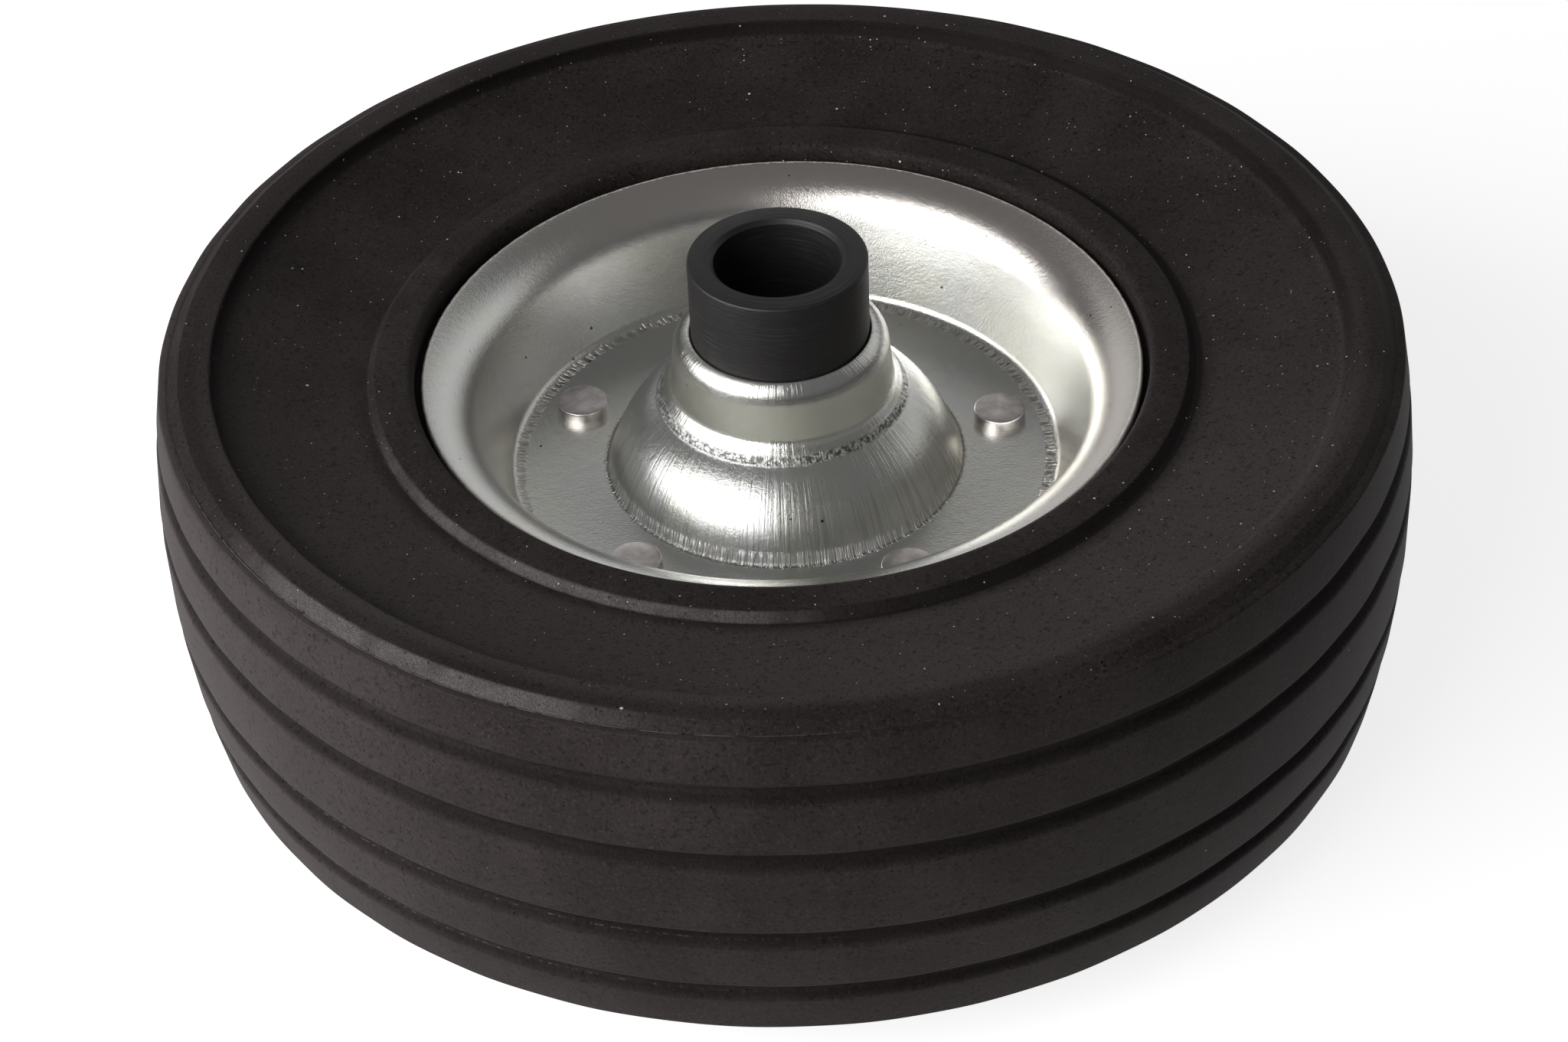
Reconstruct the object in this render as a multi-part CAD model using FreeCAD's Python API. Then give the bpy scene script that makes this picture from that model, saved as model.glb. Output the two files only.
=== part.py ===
"""Jockey wheel: a solid rubber tyre on two riveted steel pressings, turning on a plastic bush.

The wheel's axis is Z. The origin is on the axis in the plane where the two pressings meet, which is
also the middle of the tyre and of the bush. All sizes are in millimetres and angles in degrees.
"""

import FreeCAD, Part
import math
import os

# Tyre: tread
tyre_diameter = 200.0
tyre_width = 59.0
crown_radius = 143.0
inner_groove_offset = 7.6
outer_groove_offset = 19.4
groove_width = 3.2
groove_depth = 1.5
groove_floor_width = 1.3
groove_shoulder_radius = 1.0
groove_floor_radius = 0.5

# Tyre: edge of the tread, lip and sidewall
ledge_drop = 1.4
ledge_width = 1.4
lip_chamfer_width = 1.8
lip_chamfer_drop = 1.3
lip_width = 5.0
lip_step_height = 2.4
lip_step_draft = 0.5
lip_edge_radius = 0.4
sidewall_hollow_radius = 3.0

# Tyre: collar beside the rim, and the bead inside the rim
collar_gap = 1.0
collar_width = 6.2
collar_rise = 2.3
collar_step_width = 1.2
collar_step_height = 1.4
collar_inner_rounding = 1.3
bead_radius = 47.0

# Rim half: one steel pressing
rim_diameter = 114.0
rim_depth = 21.2
sheet_thickness = 2.0
sheet_edge_radius = 0.5
flange_slope = 12.0
wall_slope = 70.0
bend_radius = 11.0
land_radius = 44.1
land_corner_radius = 2.0
dome_foot_radius = 28.5
dome_foot_fillet = 0.8
dome_foot_slope = 70.0
dome_top_slope = 38.0
dome_crown_radius = 25.0
shoulder_radius = 19.4
shoulder_height = 15.9
shoulder_step_height = 0.6
shoulder_step_draft = 0.3
shoulder_edge_radius = 0.8
neck_foot_radius = 17.75
neck_foot_height = 17.9
neck_foot_fillet = 2.0
neck_top_radius = 16.85
neck_height = 27.3
neck_roll_radius = 3.2
crest_slope = 20.0
mouth_edge_radius = 0.4

# Rivets through both pressings
rivet_count = 5
rivet_circle_diameter = 72.0
first_rivet_angle = 12.3
rivet_shank_diameter = 5.0
rivet_hole_clearance = 0.05
rivet_head_diameter = 8.3
rivet_head_height = 1.7
rivet_head_edge_radius = 0.3

# Bush: a plastic tube on which the steel mouths turn
bush_diameter = 28.2
bush_bore_diameter = 20.0
bush_length = 81.0
bush_bore_chamfer = 0.7
bush_edge_radius = 0.4
bush_running_clearance = 0.1

AXIS_POINT = FreeCAD.Vector(0, 0, 0)
AXIS = FreeCAD.Vector(0, 0, 1)
SAME_POINT = 1e-6


class Line:
    """A straight stretch of a section, in the plane of radius and height."""

    def __init__(self, radius, height, step_radius, step_height):
        length = math.hypot(step_radius, step_height)
        self.radius = radius
        self.height = height
        self.along = (step_radius / length, step_height / length)

    def shifted(self, distance):
        """The same line, moved square to itself, to the left of its own direction."""
        step_radius, step_height = self.along
        return Line(self.radius - step_height * distance, self.height + step_radius * distance,
                    step_radius, step_height)

    def meet(self, other):
        """The point where two lines cross."""
        ar, ah = self.along
        br, bh = other.along
        cross = ar * bh - ah * br
        gap_radius = other.radius - self.radius
        gap_height = other.height - self.height
        run = (gap_radius * bh - gap_height * br) / cross
        return self.radius + ar * run, self.height + ah * run

    def height_at(self, radius):
        """The line's height at a radius."""
        return self.height + (radius - self.radius) * self.along[1] / self.along[0]


def inward(radius, height, slope):
    """A line that runs towards the axis and climbs by a slope; a negative slope falls."""
    angle = math.radians(slope)
    return Line(radius, height, -math.cos(angle), math.sin(angle))


def through(start, end):
    """The line from one point to another."""
    return Line(start[0], start[1], end[0] - start[0], end[1] - start[1])


def turn_between(before, corner, after):
    """How far a section turns at a corner, in radians."""
    heading_in = math.atan2(corner[1] - before[1], corner[0] - before[0])
    heading_out = math.atan2(after[1] - corner[1], after[0] - corner[0])
    turn = abs(heading_out - heading_in)
    return min(turn, 2 * math.pi - turn)


def point_towards(start, end, distance):
    """The point at a distance from one point on the way to another."""
    share = distance / math.dist(start, end)
    return start[0] + (end[0] - start[0]) * share, start[1] + (end[1] - start[1]) * share


def vector(point):
    """A point of a section as a vector in the plane y = 0."""
    return FreeCAD.Vector(point[0], 0, point[1])


def rounded_face(corners):
    """A closed face from (radius, height, fillet radius) corners, each fillet limited by its walls."""
    count = len(corners)
    points = [corner[:2] for corner in corners]
    turns = [turn_between(points[i - 1], points[i], points[(i + 1) % count]) for i in range(count)]
    reaches = [corners[i][2] * math.tan(turns[i] / 2) for i in range(count)]
    limited = list(reaches)
    for i in range(count):
        j = (i + 1) % count
        room = math.dist(points[i], points[j])
        wanted = reaches[i] + reaches[j]
        if wanted > room:
            limited[i] = min(limited[i], reaches[i] * room / wanted)
            limited[j] = min(limited[j], reaches[j] * room / wanted)
    starts = []
    middles = []
    ends = []
    for i in range(count):
        reach = limited[i]
        start = point_towards(points[i], points[i - 1], reach)
        end = point_towards(points[i], points[(i + 1) % count], reach)
        middle = points[i]
        if reach > 0:
            half_turn = turns[i] / 2
            radius = reach / math.tan(half_turn)
            chord_middle = ((start[0] + end[0]) / 2, (start[1] + end[1]) / 2)
            inset = radius / math.cos(half_turn) - radius
            middle = point_towards(points[i], chord_middle, inset)
        starts.append(start)
        middles.append(middle)
        ends.append(end)
    edges = []
    for i in range(count):
        if limited[i] > 0:
            edges.append(Part.Arc(vector(starts[i]), vector(middles[i]), vector(ends[i])).toShape())
        next_start = starts[(i + 1) % count]
        if math.dist(ends[i], next_start) > SAME_POINT:
            edges.append(Part.LineSegment(vector(ends[i]), vector(next_start)).toShape())
    return Part.Face(Part.Wire(edges))


def turned(corners):
    """A solid of revolution about the wheel's axis."""
    return rounded_face(corners).revolve(AXIS_POINT, AXIS, 360)


def mirrored(corners):
    """The corners of the other half of a symmetrical section, in the order that closes it."""
    return [(radius, -height, fillet) for radius, height, fillet in reversed(corners)]


def with_fillet(point, fillet):
    """A corner from a point and its fillet radius."""
    return point[0], point[1], fillet


# Section of the pressing: stretches of its face from the rim's edge to the mouth
rim_radius = rim_diameter / 2
flange = inward(rim_radius, rim_depth, -flange_slope)
wall = inward(land_radius, sheet_thickness, -wall_slope)
land = inward(land_radius, sheet_thickness, 0)
dome_side = inward(dome_foot_radius, sheet_thickness, dome_foot_slope)
shoulder_foot = (shoulder_radius + shoulder_step_draft, shoulder_height - shoulder_step_height)
dome_top = inward(shoulder_foot[0], shoulder_foot[1], dome_top_slope)
shoulder = (shoulder_radius, shoulder_height)
neck_foot = (neck_foot_radius, neck_foot_height)
skirt = through(shoulder, neck_foot)
neck = through(neck_foot, (neck_top_radius, neck_height))
mouth_radius = bush_diameter / 2 + bush_running_clearance
crest = inward(mouth_radius, neck_height, crest_slope)

# The same stretches on the pressing's back, one sheet thickness away
flange_back = flange.shifted(sheet_thickness)
wall_back = wall.shifted(sheet_thickness)
land_back = land.shifted(sheet_thickness)
dome_side_back = dome_side.shifted(sheet_thickness)
dome_top_back = dome_top.shifted(sheet_thickness)
skirt_back = skirt.shifted(sheet_thickness)
neck_back = neck.shifted(sheet_thickness)
crest_back = crest.shifted(sheet_thickness)


def rim_bend_radius():
    """The bend from flange to wall, no larger than the flange has room for."""
    bend = flange.meet(wall)
    half_turn = math.radians(wall_slope - flange_slope) / 2
    return min(bend_radius, (rim_radius - bend[0]) / math.tan(half_turn))


def rim_half():
    """The front pressing: flange, bowl wall, riveting land, dome, stepped neck and rolled mouth."""
    rim_bend = rim_bend_radius()
    face = [
        (rim_radius, rim_depth, sheet_edge_radius),
        with_fillet(flange.meet(wall), rim_bend),
        with_fillet(wall.meet(land), land_corner_radius),
        with_fillet(land.meet(dome_side), dome_foot_fillet),
        with_fillet(dome_side.meet(dome_top), dome_crown_radius),
        with_fillet(shoulder_foot, shoulder_edge_radius),
        with_fillet(shoulder, shoulder_edge_radius),
        with_fillet(neck_foot, neck_foot_fillet),
        with_fillet(neck.meet(crest), neck_roll_radius),
        (mouth_radius, neck_height, mouth_edge_radius),
    ]
    back = [
        (mouth_radius, crest_back.height_at(mouth_radius), sheet_edge_radius),
        with_fillet(crest_back.meet(neck_back), max(neck_roll_radius - sheet_thickness, 0)),
        with_fillet(neck_back.meet(skirt_back), neck_foot_fillet + sheet_thickness),
        with_fillet(skirt_back.meet(dome_top_back), shoulder_edge_radius),
        with_fillet(dome_top_back.meet(dome_side_back), dome_crown_radius - sheet_thickness),
        with_fillet(dome_side_back.meet(land_back), dome_foot_fillet + sheet_thickness),
        with_fillet(land_back.meet(wall_back), land_corner_radius + sheet_thickness),
        with_fillet(wall_back.meet(flange_back), rim_bend - sheet_thickness),
        (rim_radius, flange_back.height_at(rim_radius), sheet_edge_radius),
    ]
    pressing = turned(face + back)
    hole_radius = rivet_shank_diameter / 2 + rivet_hole_clearance
    for centre in rivet_centres():
        pressing = pressing.cut(Part.makeCylinder(hole_radius, sheet_thickness, centre, AXIS))
    return pressing


def rivet_centres():
    """Where the rivets cross the plane between the two pressings."""
    centres = []
    for number in range(rivet_count):
        angle = math.radians(first_rivet_angle + number * 360 / rivet_count)
        circle_radius = rivet_circle_diameter / 2
        centres.append(FreeCAD.Vector(circle_radius * math.cos(angle), circle_radius * math.sin(angle), 0))
    return centres


def rivet(centre):
    """A solid rivet with a flat round head on both lands."""
    shank_radius = rivet_shank_diameter / 2
    head_radius = rivet_head_diameter / 2
    head_top = sheet_thickness + rivet_head_height
    upper = [
        (0, head_top, 0),
        (head_radius, head_top, rivet_head_edge_radius),
        (head_radius, sheet_thickness, 0),
        (shank_radius, sheet_thickness, 0),
    ]
    body = turned(upper + mirrored(upper))
    body.translate(centre)
    return body


def tread_radius(height):
    """The radius of the crowned tread at a height above the middle plane."""
    return tyre_diameter / 2 - crown_radius + math.sqrt(crown_radius ** 2 - height ** 2)


def groove(middle):
    """Corners of one tread groove, from its upper shoulder to its lower one."""
    upper = middle + groove_width / 2
    lower = middle - groove_width / 2
    floor_radius = tread_radius(middle) - groove_depth
    return [
        (tread_radius(upper), upper, groove_shoulder_radius),
        (floor_radius, middle + groove_floor_width / 2, groove_floor_radius),
        (floor_radius, middle - groove_floor_width / 2, groove_floor_radius),
        (tread_radius(lower), lower, groove_shoulder_radius),
    ]


def tyre():
    """The rubber moulding: bead, collar, sidewall, lip, ledge and grooved tread."""
    lip_height = tyre_width / 2
    ledge_height = lip_height - ledge_drop
    edge_radius = tread_radius(ledge_height)
    ledge_inner = edge_radius - ledge_width
    lip_outer = ledge_inner - lip_chamfer_width
    lip_inner = lip_outer - lip_width
    collar_inner = rim_radius + collar_gap
    collar_outer = collar_inner + collar_width
    collar_height = rim_depth + collar_rise
    seat_radius = rim_bend_radius() - sheet_thickness
    upper = [
        (bead_radius, wall_back.height_at(bead_radius), 0),
        with_fillet(wall_back.meet(flange_back), seat_radius),
        (collar_inner, flange_back.height_at(collar_inner), 0),
        (collar_inner, collar_height, collar_inner_rounding),
        (collar_outer, collar_height, lip_edge_radius),
        (collar_outer + collar_step_width, collar_height - collar_step_height, lip_edge_radius),
        (lip_inner - lip_step_draft, lip_height - lip_step_height, sidewall_hollow_radius),
        (lip_inner, lip_height, lip_edge_radius),
        (lip_outer, lip_height, lip_edge_radius),
        (ledge_inner, lip_height - lip_chamfer_drop, 0),
        (edge_radius, ledge_height, lip_edge_radius),
    ]
    upper += groove(outer_groove_offset) + groove(inner_groove_offset)
    return turned(upper + mirrored(upper))


def hub_bush():
    """The plastic tube, turned outside, with a chamfer at each end of its bore."""
    half_length = bush_length / 2
    bore_radius = bush_bore_diameter / 2
    outer_radius = bush_diameter / 2
    upper = [
        (bore_radius, half_length - bush_bore_chamfer, 0),
        (bore_radius + bush_bore_chamfer, half_length, 0),
        (outer_radius, half_length, bush_edge_radius),
    ]
    return turned(upper + mirrored(upper))


front_rim_half = rim_half()
parts = {
    "tyre": tyre(),
    "front_rim_half": front_rim_half,
    "rear_rim_half": front_rim_half.mirror(AXIS_POINT, AXIS),
    "hub_bush": hub_bush(),
}
for number, centre in enumerate(rivet_centres(), start=1):
    parts[f"rivet_{number}"] = rivet(centre)

os.makedirs("parts", exist_ok=True)
for name, shape in parts.items():
    shape.exportStep(f"parts/{name}.step")
    print(f"{name}: valid {shape.isValid()}, solids {len(shape.Solids)}, volume {shape.Volume:.0f} mm3")
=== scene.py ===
"""Looks of the jockey wheel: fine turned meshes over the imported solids, their finishes, and a studio."""

import logging
import math
from dataclasses import dataclass
from enum import Enum
from typing import Callable, Sequence

import bmesh
import bpy
import numpy as np
from mathutils import Matrix, Vector


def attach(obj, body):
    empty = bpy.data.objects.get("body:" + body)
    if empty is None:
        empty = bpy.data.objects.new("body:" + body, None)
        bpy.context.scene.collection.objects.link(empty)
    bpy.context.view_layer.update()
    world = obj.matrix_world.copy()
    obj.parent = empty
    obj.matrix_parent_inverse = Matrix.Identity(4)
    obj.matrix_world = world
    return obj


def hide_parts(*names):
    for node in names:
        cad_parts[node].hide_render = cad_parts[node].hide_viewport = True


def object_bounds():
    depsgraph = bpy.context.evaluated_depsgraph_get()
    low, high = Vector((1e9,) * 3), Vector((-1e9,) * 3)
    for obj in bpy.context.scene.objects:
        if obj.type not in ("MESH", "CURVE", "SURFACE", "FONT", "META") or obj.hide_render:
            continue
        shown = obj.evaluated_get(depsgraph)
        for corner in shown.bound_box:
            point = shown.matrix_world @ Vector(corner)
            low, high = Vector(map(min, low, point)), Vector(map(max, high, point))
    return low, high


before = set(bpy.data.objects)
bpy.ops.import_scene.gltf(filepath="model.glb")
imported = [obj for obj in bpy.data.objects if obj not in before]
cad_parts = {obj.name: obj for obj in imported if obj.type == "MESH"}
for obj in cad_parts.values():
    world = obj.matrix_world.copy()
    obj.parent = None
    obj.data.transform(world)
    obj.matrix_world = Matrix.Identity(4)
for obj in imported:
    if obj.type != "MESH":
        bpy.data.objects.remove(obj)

CAD_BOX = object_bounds()
MM = 0.001
# Lengths that count as nothing: in a section, in mm, then in a mesh, in metres.
TINY = 1e-6
SAME_PLACE = 1e-7
NO_AREA = 1e-8
# Edges sharper than this, in degrees, aren't shaded smooth.
SHARP_ANGLE = 28.0
# The smallest speck, as a share of its kind's size.
SMALLEST_SPECK = 0.35
HEAD_PLACE = "head_place"
Point = tuple[float, float]
Corner = Colour = Place = tuple[float, float, float]
Socket = bpy.types.NodeSocket
Material = bpy.types.Material
Object = bpy.types.Object
Mesh = bpy.types.Mesh
log = logging.getLogger("jockey_wheel")


class Side(Enum):
    """Which side of the wheel a pressing is on."""

    FRONT = 1
    REAR = -1


class Body(Enum):
    """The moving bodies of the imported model."""

    BUSH = "bush"
    WHEEL = "wheel"


@dataclass(frozen=True)
class Line:
    """A straight stretch of a section: a point and a unit direction, in mm."""

    radius: float
    height: float
    along_radius: float
    along_height: float

    @staticmethod
    def inward(radius: float, height: float, slope: float) -> "Line":
        """A line towards the axis that climbs by slope degrees."""
        angle = math.radians(slope)
        return Line(radius, height, -math.cos(angle), math.sin(angle))

    @staticmethod
    def through(start: Point, end: Point) -> "Line":
        """The line from start to end."""
        length = math.dist(start, end)
        return Line(*start, (end[0] - start[0]) / length, (end[1] - start[1]) / length)

    def shifted(self, distance: float) -> "Line":
        """The line moved square to itself, to its left."""
        return Line(self.radius - self.along_height * distance, self.height + self.along_radius * distance,
                    self.along_radius, self.along_height)

    def meet(self, other: "Line") -> Point:
        """The point where this line crosses other."""
        cross = self.along_radius * other.along_height - self.along_height * other.along_radius
        gap = (other.radius - self.radius, other.height - self.height)
        run = (gap[0] * other.along_height - gap[1] * other.along_radius) / cross
        return self.radius + self.along_radius * run, self.height + self.along_height * run

    def height_at(self, radius: float) -> float:
        """The line's height at a radius."""
        return self.height + (radius - self.radius) * self.along_height / self.along_radius


def section_points(corners: Sequence[Corner], sag: float, longest: float) -> np.ndarray:
    """Samples a closed section with rounded corners.

    Args:
        corners: radius, height and fillet radius of each corner, in mm.
        sag: how far a chord may fall short of its fillet's arc, in mm.
        longest: the longest straight step, in mm.

    Returns:
        The points in order, one row of radius and height each, in mm.
    """
    points = np.array([corner[:2] for corner in corners], float)
    fillets = np.array([corner[2] for corner in corners], float)
    before = np.roll(points, 1, axis=0) - points
    after = np.roll(points, -1, axis=0) - points
    walls = np.linalg.norm(after, axis=1)
    before /= np.linalg.norm(before, axis=1)[:, None]
    after /= walls[:, None]
    turns = math.pi - np.arccos(np.clip((before * after).sum(1), -1, 1))
    reaches = fillets * np.tan(turns / 2)
    limited = reaches.copy()
    for i, wall in enumerate(walls):
        j = (i + 1) % len(walls)
        wanted = reaches[i] + reaches[j]
        if wanted > wall:
            limited[i] = min(limited[i], reaches[i] * wall / wanted)
            limited[j] = min(limited[j], reaches[j] * wall / wanted)
    path: list[np.ndarray] = []
    for i, point in enumerate(points):
        if limited[i] > TINY:
            radius = limited[i] / math.tan(turns[i] / 2)
            bisector = before[i] + after[i]
            centre = point + bisector / np.linalg.norm(bisector) * radius / math.cos(turns[i] / 2)
            start = point + before[i] * limited[i] - centre
            end = point + after[i] * limited[i] - centre
            first = math.atan2(start[1], start[0])
            sweep = (math.atan2(end[1], end[0]) - first + math.pi) % (2 * math.pi) - math.pi
            finest = 2 * math.acos(max(1 - sag / radius, 0.5))
            steps = max(2, math.ceil(abs(sweep) / finest))
            angles = first + sweep * np.linspace(0, 1, steps + 1)
            path += list(centre + radius * np.stack([np.cos(angles), np.sin(angles)], 1))
        else:
            path.append(point)
    dense: list[np.ndarray] = []
    for i, start in enumerate(path):
        end = path[(i + 1) % len(path)]
        length = float(np.linalg.norm(end - start))
        if length > TINY:
            count = max(1, math.ceil(length / longest))
            dense += [start + (end - start) * k / count for k in range(count)]
    return np.array(dense)


def mirrored(corners: Sequence[Corner]) -> list[Corner]:
    """The corners of the other half of a symmetrical section, in closing order."""
    return [(radius, -height, fillet) for radius, height, fillet in reversed(corners)]


def in_use(sockets: Sequence[Socket], name: str = "") -> Socket:
    """The first socket that the node's settings leave enabled, of a name if one is given."""
    return next(s for s in sockets if s.enabled and name in ("", s.name))


class Tree:
    """Adds nodes to a Geometry Nodes or shader tree and links them."""

    def __init__(self, tree: bpy.types.NodeTree) -> None:
        """Keeps the tree to build."""
        self.tree = tree

    def add(self, kind: str, values: dict | None = None, **settings) -> bpy.types.Node:
        """Adds a node.

        Args:
            kind: the node's type name.
            values: input name or index to a value or a socket.
            settings: properties of the node.

        Returns:
            The new node.
        """
        node = self.tree.nodes.new(kind)
        for name, value in settings.items():
            setattr(node, name, value)
        for key, value in (values or {}).items():
            self.put(node.inputs[key], value)
        return node

    def made(self, kind: str, values: dict | None = None, **settings) -> Socket:
        """The first output in use of a new node."""
        return in_use(self.add(kind, values, **settings).outputs)

    def put(self, socket: Socket, value: object) -> None:
        """Links a socket into another one, or sets its value."""
        if isinstance(value, Socket):
            self.tree.links.new(value, socket)
        else:
            socket.default_value = (*value, 1.0) if socket.type == "RGBA" else value

    def math(self, operation: str, first: object, second: object = 0.0, third: object = 0.0) -> Socket:
        """The result of a Math node."""
        return self.made("ShaderNodeMath", {0: first, 1: second, 2: third}, operation=operation)

    def times(self, first: object, *others: object) -> Socket:
        """The product of numbers."""
        for other in others:
            first = self.math("MULTIPLY", first, other)
        return first

    def most(self, first: object, *others: object) -> Socket:
        """The largest of numbers."""
        for other in others:
            first = self.math("MAXIMUM", first, other)
        return first

    def ramp(self, value: object, low: float, high: float, start: float = 0.0, end: float = 1.0,
             shape: str = "LINEAR") -> Socket:
        """A ramp from start to end as value goes from low to high, level outside."""
        return self.made("ShaderNodeMapRange", {"Value": value, "From Min": low, "From Max": high,
                                                "To Min": start, "To Max": end}, interpolation_type=shape)

    def vector(self, x: object = 0.0, y: object = 0.0, z: object = 0.0) -> Socket:
        """A vector made of three numbers."""
        return self.made("ShaderNodeCombineXYZ", {0: x, 1: y, 2: z})

    def parts(self, vector: object) -> Sequence[Socket]:
        """The three numbers of a vector."""
        return self.add("ShaderNodeSeparateXYZ", {0: vector}).outputs

    def vmath(self, operation: str, first: object, second: object = (0.0, 0.0, 0.0)) -> Socket:
        """The result of a Vector Math node, a vector or a number."""
        return self.made("ShaderNodeVectorMath", {0: first, 1: second}, operation=operation)


class GeometryTree(Tree):
    """A Geometry Nodes tree with named inputs and one output."""

    def __init__(self, name: str, inputs: dict[str, str], output: str) -> None:
        """Starts the tree.

        Args:
            name: the tree's name.
            inputs: the kind of each input by its name, with one named Finish for the material.
            output: the output's name.
        """
        super().__init__(bpy.data.node_groups.new(name, "GeometryNodeTree"))
        for title, kind in inputs.items():
            self.tree.interface.new_socket(title, in_out="INPUT", socket_type="NodeSocket" + kind)
        self.tree.interface.new_socket(output, in_out="OUTPUT", socket_type="NodeSocketGeometry")
        self.given = self.add("NodeGroupInput").outputs
        self.output = output

    def finish(self, shape: Socket) -> None:
        """Makes the shape real, gives it its material and puts it out."""
        real = self.made("GeometryNodeRealizeInstances", {"Geometry": shape})
        dressed = self.made("GeometryNodeSetMaterial", {"Geometry": real, "Material": self.given["Finish"]})
        self.add("NodeGroupOutput", {self.output: dressed})


class TurnedShape(GeometryTree):
    """Turns a section about the axis into a closed skin."""

    def __init__(self) -> None:
        """Builds the tree, with its sizes as named inputs."""
        inputs = {"Section": "Geometry", "Section points": "Int", "Steps round": "Int", "Finish": "Material"}
        super().__init__("turned_shape", inputs, "Skin")
        count, steps = self.given["Section points"], self.given["Steps round"]
        rows, columns = self.imath("ADD", count, 1), self.imath("ADD", steps, 1)
        grid = self.made("GeometryNodeMeshGrid", {"Vertices X": columns, "Vertices Y": rows})
        index = self.made("GeometryNodeInputIndex")
        column = self.imath("DIVIDE_FLOOR", index, rows)
        row = self.imath("MODULO", self.imath("MODULO", index, rows), count)
        sample = self.add("GeometryNodeSampleIndex", data_type="FLOAT_VECTOR", domain="POINT")
        self.put(sample.inputs["Geometry"], self.given["Section"])
        self.put(in_use(sample.inputs, "Value"), self.made("GeometryNodeInputPosition"))
        self.put(sample.inputs["Index"], row)
        radius, _, height = self.parts(in_use(sample.outputs))
        angle = self.times(self.math("DIVIDE", column, steps), 2 * math.pi)
        turned = self.vector(self.times(radius, self.math("COSINE", angle)),
                             self.times(radius, self.math("SINE", angle)), height)
        shape = self.made("GeometryNodeSetPosition", {"Geometry": grid, "Position": turned})
        shape = self.made("GeometryNodeMergeByDistance", {"Geometry": shape, "Distance": SAME_PLACE})
        self.finish(self.made("GeometryNodeSetShadeSmooth", {"Geometry": shape}))

    def imath(self, operation: str, first: object, second: object) -> Socket:
        """The result of an Integer Math node."""
        return self.made("FunctionNodeIntegerMath", {0: first, 1: second}, operation=operation)


class RivetRing(GeometryTree):
    """Sets one rivet at each hole of the ring."""

    def __init__(self) -> None:
        """Builds the tree, with its sizes as named inputs."""
        inputs = {"Rivet": "Geometry", "Count": "Int", "Ring radius": "Float", "First angle": "Float",
                  "Finish": "Material"}
        super().__init__("rivet_ring", inputs, "Rivets")
        given = self.given
        kept = self.add("GeometryNodeStoreNamedAttribute", {"Geometry": given["Rivet"], "Name": HEAD_PLACE},
                        data_type="FLOAT_VECTOR", domain="POINT")
        self.put(in_use(kept.inputs, "Value"), self.made("GeometryNodeInputPosition"))
        ring = self.made("GeometryNodeMeshCircle", {
            "Vertices": given["Count"], "Radius": given["Ring radius"]})
        turned = self.made("GeometryNodeTransform", {
            "Geometry": ring, "Rotation": self.vector(z=given["First angle"])})
        self.finish(self.made("GeometryNodeInstanceOnPoints", {
            "Points": turned, "Instance": kept.outputs[0]}))


def add_object(name: str, data: bpy.types.ID) -> Object:
    """Makes an object of a mesh, lamp or camera and links it to the scene."""
    made = bpy.data.objects.new(name, data)
    bpy.context.scene.collection.objects.link(made)
    return made


def emptied(owner: Material | bpy.types.World) -> bpy.types.NodeTree:
    """The node tree of a material or world, emptied."""
    owner.use_nodes = True
    owner.node_tree.nodes.clear()
    return owner.node_tree


def through_nodes(start: Mesh, tree: Tree, name: str, values: dict[str, object]) -> Object:
    """Runs a mesh through a Geometry Nodes tree and keeps the result as a plain object.

    Args:
        start: the mesh that the tree begins with.
        tree: the tree.
        name: the new object's name.
        values: the tree's inputs by name.

    Returns:
        An object at the origin with no modifier.
    """
    carrier = add_object(name + "_start", start)
    modifier = carrier.modifiers.new("nodes", "NODES")
    modifier.node_group = tree.tree
    for item in tree.tree.interface.items_tree:
        if item.in_out == "INPUT" and item.name in values:
            modifier[item.identifier] = values[item.name]
    bpy.context.view_layer.update()
    graph = bpy.context.evaluated_depsgraph_get()
    mesh = bpy.data.meshes.new_from_object(carrier.evaluated_get(graph), depsgraph=graph)
    carrier.modifiers.clear()
    bpy.data.objects.remove(carrier)
    mesh.name = name
    return add_object(name, mesh)


def place_of(mesh: Mesh) -> np.ndarray:
    """The vertices of a mesh, one row each, in metres."""
    flat = np.empty(len(mesh.vertices) * 3, np.float32)
    mesh.vertices.foreach_get("co", flat)
    return flat.reshape(-1, 3).astype(float)


def face_outwards(mesh: Mesh) -> None:
    """Turns a closed mesh's faces outwards and shades it smooth but for its sharp edges."""
    work = bmesh.new()
    work.from_mesh(mesh)
    bmesh.ops.dissolve_degenerate(work, dist=NO_AREA, edges=work.edges)
    bmesh.ops.recalc_face_normals(work, faces=work.faces)
    work.to_mesh(mesh)
    work.free()
    mesh.shade_smooth()
    mesh.set_sharp_from_angle(angle=math.radians(SHARP_ANGLE))


@dataclass(frozen=True)
class Waves:
    """Seamless random waves round the wheel: a count of them, each turning from least to most times."""

    seed: int
    least: int
    most: int
    count: int

    def at(self, angle: np.ndarray) -> np.ndarray:
        """The waves at angles in radians, about -1 to 1."""
        draw = np.random.default_rng(self.seed)
        total = np.zeros_like(angle)
        for turns, phase in zip(draw.integers(self.least, self.most + 1, self.count),
                                draw.uniform(0, 2 * math.pi, self.count)):
            total += np.sin(turns * angle + phase)
        return total / math.sqrt(self.count)


def angle_and_radius(places: np.ndarray) -> tuple[np.ndarray, np.ndarray]:
    """The angle in radians and the distance from the axis of each place."""
    return np.arctan2(places[:, 1], places[:, 0]), np.hypot(places[:, 0], places[:, 1])


def pushed_in(places: np.ndarray, radius: np.ndarray, inset: np.ndarray) -> np.ndarray:
    """The places moved towards the axis by an inset, where it is above 0."""
    places[:, :2] *= (1 - np.maximum(inset, 0) / radius)[:, None]
    return places


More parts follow.
